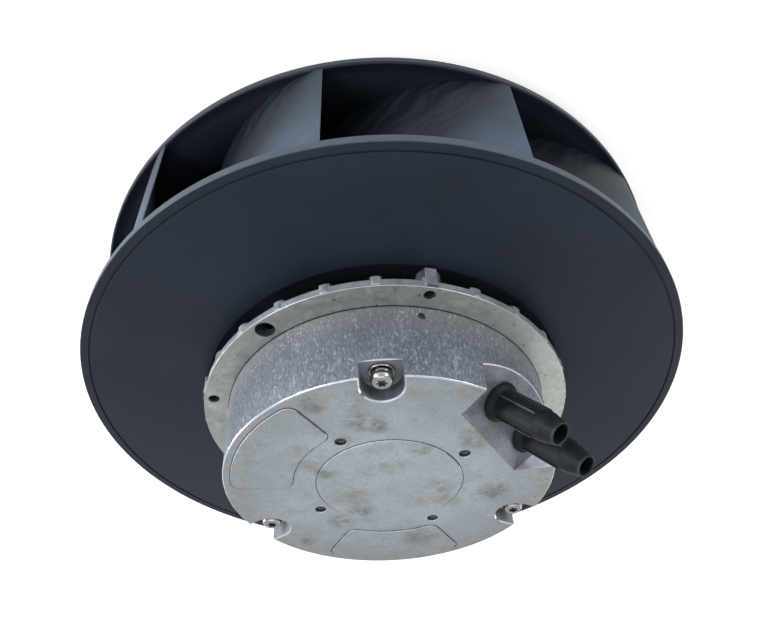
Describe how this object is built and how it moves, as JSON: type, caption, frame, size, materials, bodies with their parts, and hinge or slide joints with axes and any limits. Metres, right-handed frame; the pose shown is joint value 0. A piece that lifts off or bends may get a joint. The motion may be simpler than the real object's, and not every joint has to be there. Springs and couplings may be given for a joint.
{
  "type": "centrifugal fan",
  "caption": "Backward-curved centrifugal fan impeller with a bell-shaped back plate and ring shroud, on an external-rotor motor with a flanged electronics housing and angled cable glands.",
  "frame": {"origin": "on the fan axis, level with the inlet lip that the fan stands on", "axes": "+Z along the fan axis from the inlet up to the motor cover; the cable glands point up and out at 30 degrees from +X towards +Y"},
  "size_m": [0.25, 0.25, 0.1391],
  "materials": {
    "impeller_plastic": "glass-filled polyamide moulding, satin",
    "cast_aluminium": "die cast, face machined dull",
    "cover_aluminium": "die cast, fine grain, machined edge",
    "black_steel": "black passivated",
    "bright_steel": "ground bearing steel",
    "lamination_steel": "stacked laminations",
    "ferrite": "bonded ferrite, matte",
    "copper_wire": "enamelled copper wire",
    "zinc_plate": "bright zinc plated",
    "black_rubber": "moulded rubber",
    "black_plastic": "moulded, fine grain",
    "natural_plastic": "natural polyamide",
    "board_green": "solder mask",
    "grey_silicone": "soft silicone sheet"
  },
  "bodies": {
    "stator": {"bearing_outer_ring_1": "bright_steel", "bearing_outer_ring_2": "bright_steel", "bearing_tube": "cast_aluminium", "bearing_tube_cap": "black_plastic", "board_screw_1": "zinc_plate", "board_screw_2": "zinc_plate", "board_screw_3": "zinc_plate", "bulk_capacitor_1": "black_plastic", "bulk_capacitor_2": "black_plastic", "cable_gland_1": "black_rubber", "cable_gland_2": "black_rubber", "circuit_board": "board_green", "cover_gasket": "black_rubber", "cover_screw_1": "zinc_plate", "cover_screw_2": "zinc_plate", "cover_screw_3": "zinc_plate", "electronics_cover": "cover_aluminium", "end_insulator_lower": "natural_plastic", "end_insulator_upper": "natural_plastic", "filter_choke": "copper_wire", "flat_washer_1": "zinc_plate", "flat_washer_2": "zinc_plate", "flat_washer_3": "zinc_plate", "heat_pad": "grey_silicone", "power_module": "black_plastic", "preload_washer": "bright_steel", "spring_washer_1": "zinc_plate", "spring_washer_2": "zinc_plate", "spring_washer_3": "zinc_plate", "stator_core": "lamination_steel", "stator_flange": "cast_aluminium", "stator_windings": "copper_wire", "terminal_block": "natural_plastic"},
    "rotor": {"bearing_inner_ring_1": "bright_steel", "bearing_inner_ring_2": "bright_steel", "blade_01": "impeller_plastic", "blade_02": "impeller_plastic", "blade_03": "impeller_plastic", "blade_04": "impeller_plastic", "blade_05": "impeller_plastic", "blade_06": "impeller_plastic", "blade_07": "impeller_plastic", "blade_08": "impeller_plastic", "blade_09": "impeller_plastic", "blade_10": "impeller_plastic", "blade_11": "impeller_plastic", "impeller_back_plate": "impeller_plastic", "impeller_screw_1": "zinc_plate", "impeller_screw_2": "zinc_plate", "impeller_screw_3": "zinc_plate", "impeller_screw_4": "zinc_plate", "impeller_shroud": "impeller_plastic", "magnet_ring": "ferrite", "rotor_can": "black_steel", "shaft": "bright_steel", "shaft_clip": "bright_steel"},
    "ball_sets": {"bearing_ball_set_1": "bright_steel", "bearing_ball_set_2": "bright_steel"}
  },
  "joints": [
    {"name": "rotor_spin", "type": "hinge", "parent": "stator", "child": "rotor", "pos_m": [0, 0, 0.06], "axis": [0, 0, 1], "continuous": true},
    {"name": "cage_spin", "type": "hinge", "parent": "stator", "child": "ball_sets", "pos_m": [0, 0, 0.06], "axis": [0, 0, 1], "continuous": true}
  ],
  "couplings": [
    {"joint": "cage_spin", "follows": "rotor_spin", "ratio": 0.3725}
  ]
}
